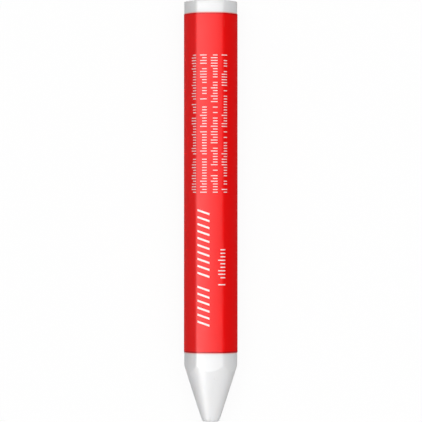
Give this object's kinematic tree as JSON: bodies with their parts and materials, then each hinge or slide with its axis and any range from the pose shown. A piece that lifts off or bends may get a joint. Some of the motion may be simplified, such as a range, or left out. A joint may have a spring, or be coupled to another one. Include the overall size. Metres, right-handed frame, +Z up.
{
  "type": "marking crayon",
  "caption": "Six-sided white wax marking crayon with a blunt turned point, in a rolled red paper sleeve that leaves both ends bare.",
  "frame": {"origin": "bottom centre of the crayon as it lies on one of its sides", "axes": "+Y from the blunt point to the flat butt end, +X to the right seen from above with the butt end away, +Z up"},
  "size_m": [0.013, 0.1018, 0.0122],
  "materials": {
    "white_wax": "smooth white wax with a soft, dull gloss",
    "red_coated_paper": "thin coated paper, printed red, with a satin gloss",
    "dried_glue": "thin dried film, hidden in the lap of the paper"
  },
  "bodies": {
    "root": {"wax_stick": "white_wax", "paper_sleeve": "red_coated_paper", "lap_glue": "dried_glue"}
  },
  "joints": []
}
